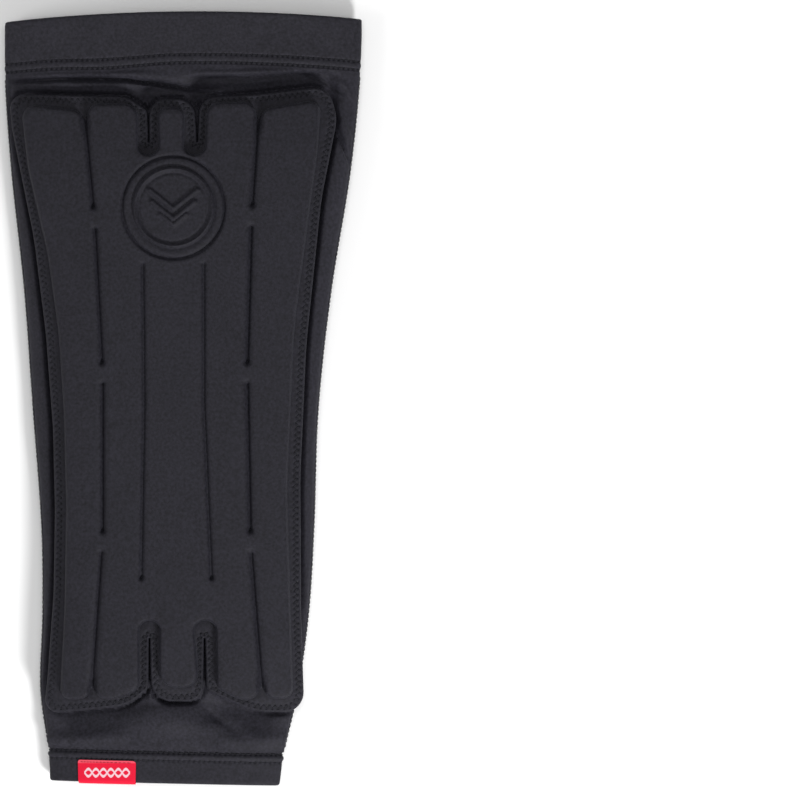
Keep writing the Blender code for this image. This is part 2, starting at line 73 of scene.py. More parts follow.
# Pad, as in the CAD: corners (x, y, radius) of its outer edge, with the slits nearly closed, and of its
# raised area
PAD_EDGE = [
    (-77.0, 141.5, 12), (-22.0, 140.0, 9), (-12.6, 134.0, 4), (-11.95, 119.0, 0.6), (-11.35, 119.0, 0.6),
    (-11.6, 139.0, 8), (9.3, 139.0, 8), (10.55, 119.0, 0.6), (11.15, 119.0, 0.6), (11.9, 139.5, 8),
    (37.5, 141.0, 60), (71.5, 145.0, 9), (76.0, 130.5, 20), (68.5, 92.5, 90), (61.5, 25.0, 150),
    (58.7, -36.5, 150), (59.0, -99.0, 100), (60.5, -146.3, 9), (37.5, -146.0, 30), (15.1, -135.5, 4),
    (14.5, -111.5, 0.6), (13.9, -111.5, 0.6), (13.5, -141.0, 7), (-10.6, -141.0, 10),
    (-11.1, -111.5, 0.6), (-11.7, -111.5, 0.6), (-11.9, -135.0, 4), (-21.5, -143.0, 25),
    (-61.0, -147.0, 9), (-59.0, -131.0, 20), (-56.0, -90.0, 90), (-55.4, -52.0, 90), (-56.3, -14.0, 90),
    (-59.6, 30.0, 90), (-65.1, 74.0, 90), (-75.6, 126.0, 15),
]
PAD_HULL = [  # the edge with its slits left out
    PAD_EDGE[0], (-22.0, 140.3, 30), (9.3, 139.3, 30), *PAD_EDGE[10:18], (37.5, -146.0, 20),
    (14.0, -140.6, 20), (-10.6, -141.2, 20), (-26.0, -144.2, 25), *PAD_EDGE[28:],
]
PADDED_AREA = [
    (-71.5, 137.0, 6), (-44.6, 134.0, 6), (-41.1, 128.5, 1.5), (-38.9, 137.0, 6), (-16.5, 137.0, 7),
    (-16.5, 113.3, 4.4), (-7.0, 113.3, 4.4), (-7.6, 135.2, 5), (5.3, 135.2, 5), (4.8, 113.3, 4.4),
    (14.3, 113.3, 4.4), (15.5, 137.5, 6), (36.9, 137.8, 6), (39.2, 128.5, 1.5), (42.0, 134.5, 6),
    (68.5, 139.2, 5), (67.0, 116.0, 60), (56.0, 33.0, 150), (52.6, -42.0, 150), (54.6, -110.0, 90),
    (55.5, -140.0, 5), (43.4, -140.0, 6), (40.8, -132.5, 1.5), (38.2, -140.3, 6), (30.0, -140.3, 8),
    (20.0, -135.0, 5), (19.4, -103.6, 4.4), (9.4, -103.6, 4.4), (12.0, -134.7, 7), (-7.0, -134.7, 8),
    (-6.6, -103.6, 4.4), (-15.8, -103.6, 4.4), (-15.8, -136.0, 6), (-28.0, -140.0, 8),
    (-35.2, -140.0, 6), (-37.8, -132.5, 1.5), (-40.4, -140.2, 6), (-53.2, -140.2, 5),
    (-51.0, -98.0, 90), (-50.2, -50.0, 90), (-51.2, -8.0, 90), (-53.6, 30.0, 90), (-58.6, 66.0, 60),
    (-68.0, 107.0, 40),
]
# Grooves: start, end, half width and depth of the broad valley, depth of the crease in it, and which end
# deepens into the flange (0 none, 1 start, 2 end)
GROOVES = [
    ((-41.2, 130.0), (-37.3, 89.0), 3.4, 0.9, 1.7, 1), ((-36.4, 78.3), (-33.2, 16.8), 3.4, 0.8, 1.6, 0),
    ((-32.9, 6.5), (-32.9, -61.5), 3.4, 0.8, 1.6, 0), ((-33.5, -71.8), (-37.9, -135.0), 3.4, 0.8, 1.5, 2),
    ((39.3, 130.0), (36.6, 89.9), 3.4, 0.9, 1.7, 1), ((36.1, 79.2), (34.3, 16.8), 3.4, 0.9, 1.7, 0),
    ((34.3, 6.5), (35.6, -61.5), 3.4, 0.9, 1.7, 0), ((36.1, -72.2), (40.9, -135.0), 3.4, 0.8, 1.6, 2),
    ((-14.2, 62.0), (-13.6, -1.0), 2.8, 0.5, 1.3, 0), ((-13.6, -1.0), (-15.0, -83.4), 2.8, 0.5, 1.3, 0),
    ((14.1, 62.0), (14.1, -1.0), 2.8, 0.5, 1.3, 0), ((14.1, -1.0), (17.6, -83.4), 2.8, 0.5, 1.3, 0),
]
CREASE = 0.8  # half width of the crease
GROOVE_STEP = 1.6  # between the mesh points along a groove
PITS = [((-37.3, 89.0), 1.3), ((-33.2, 16.8), 1.3), ((-32.9, -61.5), 1.3), ((36.6, 89.9), 1.3),
        ((34.3, 16.8), 1.3), ((35.6, -61.5), 1.3), ((-15.0, -83.4), 1.2), ((17.6, -83.4), 1.2),
        ((-36.4, 78.3), 0.5), ((-32.9, 6.5), 0.5), ((36.1, 79.2), 0.5), ((34.3, 6.5), 0.5)]
PIT_REACH = 1.1
MEDALLION = (0.0, 88.5)
PAD_ARCH = 0.93
GAP = 0.3
LINING_TOP = 1.0
COVER_LOW = 1.05  # underside of the cover on the flange, over the sleeve
FLANGE_TOP = 2.3
CROWN_TOP = 6.7
EDGE_ROUND = 1.0
WALL_REACH = 1.6
MOUTH_RUN = (1.0, 10.0)  # where an open groove's extra depth starts and ends, from its open end
MOUTH_DEPTH = 2.6
# Medallion: (radius, height) of its relief, from the middle out
RINGS = [(0, 0.2), (15.1, 0.2), (15.7, -0.15), (16.2, -0.2), (17.0, 0.7), (17.9, 1.3), (18.7, 0.8),
         (19.3, -0.45), (19.8, -0.4), (20.6, 0.0), (22.5, 0.05), (23.0, -0.4), (23.6, -1.45),
         (24.1, -1.3), (24.6, -0.3), (25.2, 0.12), (26.2, 0.0), (400, 0.0)]
CHEVRONS = [[(MEDALLION[0] + side * half, MEDALLION[1] + top - (0.8 * half if side == 0 else 0))
             for side in (-1, 0, 1)] for half, top in ((11, 8), (10, 2.6), (6, -3.4))]

# Folds of the front cloth: half width, depth (below 0 it stands up) and the line it follows
FOLDS = [
    # above the pad: a long fold under the cuff, with a swell on either side of it
    (1.0, 4.8, [(-77, 147.4), (-52, 148.6), (-22, 148.2), (-8, 146.2), (6, 144.0), (22, 143.6)]),
    (1.9, -0.9, [(-76, 150.2), (-48, 151.2), (-18, 150.8), (4, 148.4)]),
    (1.1, -0.5, [(-66, 145.2), (-36, 145.6), (-10, 144.8)]),
    (1.4, -0.9, [(12, 146.6), (34, 146.8), (56, 149.4)]),
    # beside the pad's top corners: gathers that run down the sides
    (0.85, 4.6, [(71.5, 136.0), (75.0, 127.5), (78.8, 118.5), (82.6, 109.0)]),
    (1.5, -1.5, [(74.5, 139.0), (78.2, 129.0), (82.0, 119.0)]),
    (1.0, 1.8, [(60.0, 151.5), (70.0, 147.8), (80.0, 141.0)]),
    (1.4, -0.7, [(72.0, 149.5), (80.0, 145.0), (84.0, 138.0)]),
    (1.2, 0.9, [(-76.0, 146.0), (-77.5, 138.0), (-76.5, 128.0)]),
    # below the pad: puckers, and a swell on either side next to the hem
    (1.6, 0.8, [(14.0, -143.0), (19.0, -148.5), (26.0, -153.0)]),
    (2.6, 0.7, [(24.0, -151.0), (31.0, -157.5), (38.0, -163.0)]),
    (1.9, 0.8, [(-53.0, -152.0), (-49.0, -159.0), (-50.0, -166.0)]),
    (4.0, -2.0, [(-64.0, -158.5), (-42.0, -159.3), (-20.0, -156.5)]),
    (4.0, -1.8, [(20.0, -158.6), (38.0, -159.3), (58.0, -158.0)]),
]
# Round hollows of the front cloth: middle, reach along x and y, and depth
HOLLOWS = [((2.0, 143.4), (27, 4.2), 3.5), ((-3.0, -151.0), (13.0, 5.5), -1.6),
           ((17.5, -147.6), (7.0, 4.2), 2.0)]
# Upper edge (x, y) of the step between the cuff and the pad's right half, and its depth
STEP_EDGE = [(8, 150.4), (34, 150.9), (50, 152.0), (66, 153.4)]
STEP_DEPTH = 3.7

PITCH = 2.4  # of the hems' needle rows
ZIGZAG_PITCH = 2.7
ZIGZAG_INSET = 2.3
SEAM_PITCH = 2.2
TACK_PITCH = 1.8
THREAD = 0.2  # thread radius
LABEL_X = (-44.5, -18.0)
LABEL_TOP = -169.3
LABEL_ROUND = 1.3

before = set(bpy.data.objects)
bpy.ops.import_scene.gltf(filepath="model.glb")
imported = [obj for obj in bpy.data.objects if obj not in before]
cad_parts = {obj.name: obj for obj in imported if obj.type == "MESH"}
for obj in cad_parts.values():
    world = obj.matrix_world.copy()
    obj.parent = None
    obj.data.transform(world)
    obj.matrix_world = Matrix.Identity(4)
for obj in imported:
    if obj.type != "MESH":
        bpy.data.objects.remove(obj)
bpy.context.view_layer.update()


# ---- curves and surfaces


def curve(table, y):
    """Smooth curve through (y, value) pairs, with Catmull-Rom slopes, for an array of y."""
    ys, vs = np.array(table, float).T
    y = np.clip(np.asarray(y, float), ys[0], ys[-1])
    i = np.clip(np.searchsorted(ys, y, side="right") - 1, 0, len(ys) - 2)
    before, after = np.maximum(i - 1, 0), np.minimum(i + 2, len(ys) - 1)
    slope0 = (vs[i + 1] - vs[before]) / (ys[i + 1] - ys[before])
    slope1 = (vs[after] - vs[i]) / (ys[after] - ys[i])
    span = ys[i + 1] - ys[i]
    t = (y - ys[i]) / span
    return ((2 * t**3 - 3 * t**2 + 1) * vs[i] + (t**3 - 2 * t**2 + t) * span * slope0
            + (3 * t**2 - 2 * t**3) * vs[i + 1] + (t**3 - t**2) * span * slope1)


def smooth(t):
    t = np.clip(t, 0, 1)
    return t * t * (3 - 2 * t)


def middle_and_half(y):
    left, right = curve(LEFT_FOLD, y), curve(RIGHT_FOLD, y)
    return (left + right) / 2, (right - left) / 2


def bowed(y, q):
    up = np.clip((y - 90) / 60, 0, 1)
    down = np.clip((-y - 120) / 45, 0, 1)
    sag = 1.5 * np.exp(-(((q + 0.42) / 0.24) ** 2) - ((y - 152) / 9) ** 2)
    return y + up * (4.0 * (1 - q * q) + 0.7 * q) - down * 1.2 * q - sag


def front_height(x, y, flatten=1.0):
    middle, half = middle_and_half(y)
    fold = curve(FOLD_HEIGHT, y)
    u = np.minimum(1.0, np.abs(x - middle) / half * flatten)
    return fold + (curve(CROWN, y) - fold) * (1 - u**ACROSS_POWER) ** (1 / UP_POWER)


def ring_point(u, y, depth):
    """Point on the sleeve. u runs round it: 0 right fold, 0 to 1 over the front, 1 left fold, 1 to 2
    back along the table. depth is how far it lies under the outer surface."""
    u, y, depth = np.broadcast_arrays(np.asarray(u, float) % 2, y, depth)
    angle = math.pi * np.where(u < 1, u, 2 - u)
    middle, half = middle_and_half(y)
    fold = curve(FOLD_HEIGHT, y)
    rise = curve(CROWN, y) - fold
    c, s = np.cos(angle), np.clip(np.sin(angle), 0, None)
    q = np.sign(c) * np.abs(c) ** (2 / ACROSS_POWER)
    t = s ** (2 / UP_POWER)
    nx = np.sign(q) * np.abs(q) ** (ACROSS_POWER - 1) * ACROSS_POWER / half
    nz = t ** (UP_POWER - 1) * UP_POWER / rise
    length = np.hypot(nx, nz)
    front = np.stack([middle + half * q - depth * nx / length, bowed(y, q),
                      fold + rise * t - depth * nz / length], -1)
    flat = half - FOLD_WIDTH
    turn = 2 * np.minimum(angle, math.pi - angle)
    side = np.where(angle < math.pi / 2, 1, -1)
    under = np.abs(angle - math.pi / 2) <= math.pi / 4
    x = np.where(under, flat * (math.pi / 2 - angle) / (math.pi / 4),
                 side * (flat + FOLD_WIDTH * np.cos(turn)))
    z = np.where(under, 0, fold * (1 - np.sin(turn)))
    nx = np.where(under, 0, side * np.cos(turn) / FOLD_WIDTH)
    nz = np.where(under, -1, -np.sin(turn) / fold)
    length = np.hypot(nx, nz)
    back = np.stack([middle + x - depth * nx / length, bowed(y, x / half), z - depth * nz / length], -1)
    return np.where((u < 1)[..., None], front, back)


def ring_lengths(y):
    """Dense u round the sleeve at y, and the length run at each."""
    u = np.linspace(0, 2, 4001)
    p = ring_point(u[:-1], y, 0.0)
    steps = np.linalg.norm(np.diff(np.vstack([p, p[:1]]), axis=0), axis=1)
    return u, np.concatenate([[0], np.cumsum(steps)])


def even_ring(y, count):
    """count values of u, evenly spaced round the sleeve at y."""
    u, run = ring_lengths(y)
    return np.interp(np.arange(count) * run[-1] / count, run, u)


def nearest(line, x, y, closed=False):
    """Distance from each point to a polyline, and the share of the polyline before the nearest spot."""
    a = np.array(line, float)
    if closed:
        a = np.vstack([a, a[:1]])
    d = np.diff(a, axis=0)
    lengths = np.hypot(d[:, 0], d[:, 1])
    before = np.concatenate([[0], np.cumsum(lengths)])
    best, along = np.full(np.shape(x), 1e9), np.zeros(np.shape(x))
    for (x0, y0), (dx, dy), length, start in zip(a, d, lengths, before):
        if length < 1e-9:
            continue
        t = np.clip(((x - x0) * dx + (y - y0) * dy) / length**2, 0, 1)
        away = np.hypot(x - x0 - t * dx, y - y0 - t * dy)
        closer = away < best
        best = np.where(closer, away, best)
        along = np.where(closer, (start + t * length) / before[-1], along)
    return best, along


def inside(outline, x, y):
    hit = np.zeros(np.shape(x), bool)
    for i, (x1, y1) in enumerate(outline):
        x0, y0 = outline[i - 1]
        if y0 == y1:
            continue
        hit ^= ((y0 > y) != (y1 > y)) & (x < (x1 - x0) * (y - y0) / (y1 - y0) + x0)
    return hit


def inwards(outline, x, y):
    """Distance inside a closed outline, negative outside it."""
    away = nearest(outline, x, y, closed=True)[0]
    return np.where(inside(outline, x, y), away, -away)


def spaced(start, end, step):
    """Points evenly spaced from start to end, at most step apart."""
    start, end = np.array(start), np.array(end)
    n = max(1, math.ceil(math.dist(start, end) / step))
    return [start + (end - start) * k / n for k in range(n + 1)]


def rounded_outline(corners, longest, step):
    """Closed outline through rounded corners. step is the turn between the points of an arc, in degrees."""
    n, line = len(corners), []
    for i, (cx, cy, radius) in enumerate(corners):
        b = np.array(corners[i - 1][:2]) - (cx, cy)
        a = np.array(corners[(i + 1) % n][:2]) - (cx, cy)
        bl, al = np.hypot(*b), np.hypot(*a)
        b, a = b / bl, a / al
        half = math.acos(np.clip(a @ b, -1, 1)) / 2
        reach = min(radius / math.tan(half), 0.48 * bl, 0.48 * al)
        radius = reach * math.tan(half)
        centre = np.array((cx, cy)) + (a + b) / np.linalg.norm(a + b) * radius / math.sin(half)
        start, end = (cx, cy) + b * reach - centre, (cx, cy) + a * reach - centre
        a0, a1 = math.atan2(start[1], start[0]), math.atan2(end[1], end[0])
        sweep = (a1 - a0 + math.pi) % TAU - math.pi
        steps = max(1, round(abs(math.degrees(sweep)) / step))
        for turn in (a0 + sweep * k / steps for k in range(steps + 1)):
            line.append(centre + radius * np.array((math.cos(turn), math.sin(turn))))
    out = []
    for p, q in zip(line, line[1:] + line[:1]):
        if math.dist(p, q) > 1e-3:
            out += [tuple(point) for point in spaced(p, q, longest)[:-1]]
    return out


def inset_outline(outline, inset):
    """Clockwise outline moved inwards."""
    p = np.array(outline)
    sides = p - np.roll(p, 1, 0), np.roll(p, -1, 0) - p
    n = sum(np.stack([e[:, 1], -e[:, 0]], 1) / np.linalg.norm(e, axis=1)[:, None] for e in sides)
    return [tuple(q) for q in p + n * (inset * 2 / (n * n).sum(1))[:, None]]


def walk(outline, pitch):
    """Points evenly spaced along a closed outline, with their inward normals."""
    a = np.vstack([outline, outline[:1]])
    run = np.concatenate([[0], np.cumsum(np.hypot(*np.diff(a, axis=0).T))])
    count = round(run[-1] / pitch)
    s = np.arange(count) * run[-1] / count
    p = np.stack([np.interp(s, run, a[:, 0]), np.interp(s, run, a[:, 1])], 1)
    along = np.roll(p, -1, 0) - np.roll(p, 1, 0)
    along /= np.linalg.norm(along, axis=1)[:, None]
    return p, np.stack([along[:, 1], -along[:, 0]], 1)


# ---- meshes and pieces


def add_mesh(name, points, faces, look, sharp=50):
    """A closed mesh from points in millimetres, with its faces turned outwards."""
    mesh = bpy.data.meshes.new(name)
    mesh.from_pydata((np.asarray(points, float) * MM).tolist(), [], faces)
    shape = bmesh.new()
    shape.from_mesh(mesh)
    bmesh.ops.recalc_face_normals(shape, faces=shape.faces)
    shape.to_mesh(mesh)
    shape.free()
    mesh.materials.append(look)
    mesh.shade_smooth()
    mesh.set_sharp_from_angle(angle=math.radians(sharp))
    made = bpy.data.objects.new(name, mesh)
    bpy.context.scene.collection.objects.link(made)
    return made


def place(piece, slot, body, *nodes):
    """Puts a finished piece on its body, or leaves it in world space for "knit" or "seam", and hides the CAD
    parts it stands for.
    """
    if body in STRETCH:
        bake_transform(piece)
    else:
        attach(piece, body)
    if nodes:
        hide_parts(*nodes)


def ring_faces(columns, rows):
    """Quads of a grid that closes on itself both ways."""
    i, k = np.meshgrid(np.arange(columns), np.arange(rows), indexing="ij")
    i2, k2 = (i + 1) % columns, (k + 1) % rows
    return np.stack([i * rows + k, i * rows + k2, i2 * rows + k2, i2 * rows + k], -1).reshape(-1, 4).tolist()


def tube_faces(rings, around, first=0):
    """Quads and two end caps of a tube: rings of `around` points each, from point `first` on."""
    i, k = np.meshgrid(np.arange(rings - 1), np.arange(around), indexing="ij")
    k2 = (k + 1) % around
    corners = [i * around + k, i * around + k2, (i + 1) * around + k2, (i + 1) * around + k]
    faces = (first + np.stack(corners, -1)).reshape(-1, 4).tolist()
    last = first + (rings - 1) * around
    return faces + [list(range(first, first + around)), list(range(last, last + around))[::-1]]


def threads(name, paths, normals, radius, look, sides=6):
    """Short closed lengths of thread. paths and normals are (count, points, 3)."""
    count, n, _ = paths.shape
    along = np.gradient(paths, axis=1)
    along /= np.linalg.norm(along, axis=2, keepdims=True)
    across = np.cross(along, normals)
    across /= np.linalg.norm(across, axis=2, keepdims=True)
    up = np.cross(across, along)
    around = np.arange(sides) * TAU / sides
    swell = np.ones(n)
    swell[0] = swell[-1] = 0.55
    shape = np.cos(around)[:, None] * across[:, :, None] + np.sin(around)[:, None] * up[:, :, None]
    points = paths[:, :, None] + radius * swell[:, None, None] * shape
    faces = [face for c in range(count) for face in tube_faces(n, sides, c * n * sides)]
    return add_mesh(name, points.reshape(-1, 3), faces, look, sharp=70)


def ring_threads(name, us, ys, depth, radius, look, body, *nodes):
    """Threads laid on the sleeve, each at its u, y and depth."""
    path = ring_point(us, ys, depth)
    made = threads(name, path, ring_point(us, ys, depth - 1) - path, radius, look)
    place(made, "thread", body, *nodes)


# ---- materials


class Nodes:
    """Small helper that adds nodes to a material. Its textures all lie in object space."""

    def __init__(self, name, specular=None, **shader):
        self.material = bpy.data.materials.new(name)
        self.material.use_nodes = True
        self.tree = self.material.node_tree
        self.shader = self.tree.nodes["Principled BSDF"]
        for key, value in shader.items():
            self.shader.inputs[key.replace("_", " ")].default_value = value
        if specular is not None:
            self.shader.inputs["Specular IOR Level"].default_value = specular
        self.at = self.add("ShaderNodeTexCoord").outputs["Object"]

    def add(self, kind, inputs=None, **settings):
        node = self.tree.nodes.new(kind)
        for key, value in settings.items():
            setattr(node, key, value)
        for key, value in (inputs or {}).items():
            if isinstance(value, bpy.types.NodeSocket):
                self.tree.links.new(value, node.inputs[key])
            else:
                node.inputs[key].default_value = value
        return node

    def math(self, operation, a, b=0.0):
        return self.add("ShaderNodeMath", {0: a, 1: b}, operation=operation).outputs[0]

    def total(self, *terms):
        """Sum of values, each given with its weight."""
        out = None
        for value, weight in terms:
            term = self.math("MULTIPLY", value, weight)
            out = term if out is None else self.math("ADD", out, term)
        return out

    def mix(self, factor, a, b):
        return self.add("ShaderNodeMix", {0: factor, 6: a, 7: b}, data_type="RGBA").outputs[2]

    def ramp(self, value, low, high):
        return self.add("ShaderNodeMapRange", {0: value, 1: low, 2: high}, clamp=True).outputs[0]

    def wave(self, direction, scale, distortion, **more):
        inputs = {"Vector": self.at, "Scale": scale, "Distortion": distortion, **more}
        made = self.add("ShaderNodeTexWave", inputs, wave_type="BANDS", bands_direction=direction)
        return made.outputs["Fac"]

    def noise(self, scale, **more):
        return self.add("ShaderNodeTexNoise", {"Vector": self.at, "Scale": scale, **more}).outputs["Fac"]

    def drive(self, name, value):
        self.tree.links.new(value, self.shader.inputs[name])

    def shades(self, factor, colour, low, high):
        """Base colour that passes from low to high times a colour."""
        self.drive("Base Color", self.mix(factor, *((*(c * k for c in colour), 1) for k in (low, high))))

    def rough(self, value, share, low):
        self.drive("Roughness", self.math("ADD", self.math("MULTIPLY", value, share), low))

    def bump(self, height, strength, distance):
        inputs = {"Height": height, "Strength": strength, "Distance": distance}
        self.drive("Normal", self.add("ShaderNodeBump", inputs).outputs[0])


def bands(pitch):
    """Scale of a wave texture whose bands lie pitch mm apart."""
    return 0.314 / (pitch * MM)


def knit(name, colour, roughness, course, relief, sheen, mottle=0.5):
    """Fine stretch knit: rows of loops course mm apart, over a soft mottle."""
    m = Nodes(name, 0.18, Sheen_Weight=sheen, Sheen_Roughness=0.45, Sheen_Tint=(0.75, 0.76, 0.95, 1))
    wavy = {"Detail": 1.0, "Detail Scale": 2.0}
    wales = m.wave("X", bands(course), 1.2, **wavy)
    courses = m.wave("Y", bands(course * 0.8), 1.5, **wavy)
    loops = m.math("MULTIPLY", wales, courses)
    fuzz = m.noise(720.0, Detail=2.0, Roughness=0.6)
    soft = m.noise(55.0, Detail=4.0, Roughness=0.55)
    light = m.total((m.ramp(fuzz, 0.3, 0.7), 0.74), (loops, 0.12), (m.ramp(soft, 0.3, 0.7), 0.14))
    m.shades(light, colour, 1 - mottle, 1 + mottle)
    m.rough(fuzz, 0.2, roughness - 0.1)
    m.bump(m.total((loops, 0.7), (fuzz, 0.5)), relief, 0.00012)
    return m.material


def twisted(name, colour, roughness):
    """Thread: a slanted twist over a slight change of shade."""
    m = Nodes(name, 0.2)
    turn = m.wave("DIAGONAL", 620.0, 0.6)
    shade = m.noise(120.0)
    m.shades(m.total((turn, 0.5), (shade, 0.5)), colour, 0.65, 1.3)
    m.rough(shade, 0.15, roughness - 0.08)
    m.bump(turn, 0.5, 0.0001)
    return m.material


def ribbed(name, colour, roughness, rib):
    """Elastic band: ribs along y with a woven cross thread."""
    m = Nodes(name)
    ribs = m.wave("X", bands(rib), 0.3)
    cross = m.wave("Y", bands(rib * 0.45), 0.8)
    height = m.total((ribs, 0.75), (cross, 0.25))
    m.shades(height, colour, 0.6, 1.4)
    m.rough(cross, 0.1, roughness - 0.05)
    m.bump(height, 0.6, 0.0002)
    return m.material


def cellular(name, colour, roughness, cell, relief):
    """Closed-cell foam or moulded rubber: fine cells over a mottle."""
    m = Nodes(name)
    cells = m.add("ShaderNodeTexVoronoi", {"Vector": m.at, "Scale": 1 / (cell * MM)}).outputs["Distance"]
    soft = m.noise(80.0, Detail=3.0)
    m.shades(m.total((cells, 0.5), (soft, 0.5)), colour, 0.7, 1.3)
    m.rough(soft, 0.15, roughness - 0.08)
    m.bump(cells, relief, 0.0002)
    return m.material


def woven_label():
    """Red satin label with a plain braid of two pale waves."""
    m = Nodes("label_weave", 0.08)
    split = m.add("ShaderNodeSeparateXYZ", {0: m.at})
    x, y = m.math("SUBTRACT", split.outputs[0], sum(LABEL_X) / 2 * MM), split.outputs[1]
    middle = (LABEL_TOP + BOTTOM_EDGE) / 2 * MM
    length, swing, half_width, half_braid, soft = (v * MM for v in (7.0, 1.7, 0.5, 10.55, 0.2))
    lines = None
    for shift in (0.0, 0.5):
        turn = m.math("ADD", m.math("MULTIPLY", x, TAU / length), shift * TAU)
        wave = m.math("MULTIPLY", m.math("SINE", turn), swing)
        away = m.math("ABSOLUTE", m.math("SUBTRACT", m.math("SUBTRACT", y, middle), wave))
        line = m.ramp(away, half_width + 0.25 * MM, half_width)
        lines = line if lines is None else m.math("MAXIMUM", lines, line)
    lines = m.math("MULTIPLY", lines, m.ramp(m.math("ABSOLUTE", x), half_braid + soft, half_braid))
    top = m.ramp(y, (LABEL_TOP - 0.8) * MM, (LABEL_TOP - 0.5) * MM)
    weave = m.total((m.wave("Y", bands(0.35), 0.4), 0.6), (m.wave("X", bands(0.5), 0.4), 0.4))
    red = m.mix(weave, (0.52, 0.006, 0.024, 1), (0.72, 0.012, 0.045, 1))
    red = m.mix(m.math("MULTIPLY", top, 0.45), red, (0.78, 0.15, 0.20, 1))
    white = m.mix(weave, (0.62, 0.40, 0.45, 1), (0.78, 0.56, 0.61, 1))
    m.drive("Base Color", m.mix(lines, red, white))
    m.rough(weave, 0.2, 0.42)
    m.bump(m.math("ADD", weave, m.math("MULTIPLY", lines, 0.8)), 0.4, 0.0001)
    return m.material


SLEEVE_LOOK = knit("sleeve_knit_look", (0.0166, 0.0158, 0.0220), 0.72, 0.62, 0.5, 0.03, 0.52)
# the bottom hem's knit is darker than the sleeve's
HEM_LOOK = knit("hem_knit_look", (0.0146, 0.0139, 0.0192), 0.70, 0.58, 0.45, 0.03, 0.52)
CUFF_LOOK = knit("cuff_knit_look", (0.0167, 0.0159, 0.0216), 0.68, 0.55, 0.45, 0.04, 0.52)
PAD_LOOK = knit("pad_knit_look", (0.0132, 0.0126, 0.0177), 0.70, 0.62, 0.5, 0.03, 0.52)
LINING_LOOK = knit("lining_cloth_look", (0.020, 0.020, 0.024), 0.85, 0.9, 0.5, 0.05)
THREAD_LOOK = twisted("thread_look", (0.013, 0.013, 0.017), 0.78)
LABEL_THREAD_LOOK = twisted("label_thread_look", (0.42, 0.02, 0.04), 0.7)
ELASTIC_LOOK = ribbed("elastic_look", (0.04, 0.04, 0.045), 0.8, 1.2)
FOAM_LOOK = cellular("foam_look", (0.05, 0.05, 0.055), 0.9, 0.5, 0.5)
GRIP_LOOK = cellular("silicone_look", (0.03, 0.03, 0.035), 0.35, 1.5, 0.15)
LABEL_LOOK = woven_label()


# ---- sleeve


PAD_LINE = rounded_outline(PAD_EDGE, 3.0, 12)
HULL_LINE = rounded_outline(PAD_HULL, 3.0, 12)


def crease(x, y, line, width, depth):
    """A soft valley (depth above 0) or ridge (below 0) along a line, fading out at both ends."""
    away, along = nearest(line, x, y)
    fade = np.clip(4 * along * (1 - along), 0, 1) ** 0.6
    return -depth * fade * np.exp(-((away / width) ** 2))


def drape(x, y):
    """How far the sleeve's front cloth stands out of (or, below 0, sinks under) its plain shape."""
    rise = 0.22 * np.sin(x / 9.0 + 1.3 * np.sin(y / 31.0)) * np.sin(y / 13.0 + 0.8)
    rise += 0.18 * np.sin(x / 4.7 + y / 17.0) * np.sin(y / 7.3 + 2.1)
    for width, depth, line in FOLDS:
        rise += crease(x, y, line, width, depth)
    for (cx, cy), (reach_x, reach_y), depth in HOLLOWS:
        rise -= depth * np.exp(-(((x - cx) / reach_x) ** 2 + ((y - cy) / reach_y) ** 2))
    # the step between the cuff and the pad's right half, with a lip on its upper side
    step_at = np.interp(x, *np.array(STEP_EDGE).T)
    low_side = smooth((x - 2) / 16) * smooth((78 - x) / 6) * smooth((y - 130) / 8)
    rise -= STEP_DEPTH * low_side * smooth((step_at - y) / 1.5)
    rise += 0.7 * low_side * np.exp(-(((y - step_at - 0.8) / 1.3) ** 2))
    # the pad's edge presses the cloth down: a narrow trench all round, and a hollow before the lobes
    deep, hull = inwards(PAD_LINE, x, y), inwards(HULL_LINE, x, y)
    middle, half = middle_and_half(y)
    ankle, right = smooth((-y - 134) / 8), smooth((x - 40) / 10)
    knee = smooth((y - 136) / 5) * (1 - 0.6 * low_side)
    clear_of_fold = smooth((half - np.abs(x - middle)) / 11)
    under = np.exp(-(np.clip((deep + 0.5) / 1.3, 0, None) ** 2))
    out, out_hull = np.clip(-deep - 0.5, 0, None), np.clip(-hull - 0.5, 0, None)
    lobe = ankle * (1 - 0.8 * np.exp(-(((x + 4) / 15) ** 2))) * (1 - 0.35 * right)
    trench = (3.0 + 0.8 * right) * (1 - 0.85 * lobe) * np.exp(-((out / 1.35) ** 4))
    reach = 2.6 + 0.8 * right + 0.8 * knee
    hollow = (1.0 + 0.4 * right + 1.4 * knee) * (1 - lobe) * np.exp(-((out_hull / reach) ** 2))
    slope = np.clip(0.95 * (front_height(x, y) - LOWEST_FRONT), 0, 7.0)
    hollow += lobe * slope * np.exp(-((out_hull / 7.5) ** 1.3))
    ditch = (trench + hollow * clear_of_fold) * under + 0.45 * smooth((deep + 1.5) / 1.5)
    return rise * smooth((-deep + 0.5) / 2.5) - ditch


def hem_lift(u, front, back):
    """A depth that passes from its front value to its back one round the side folds."""
    v = np.where(u < 1, 0.0, np.minimum(u - 1, 2 - u) * 4)
    return front + (back - front) * smooth(v)


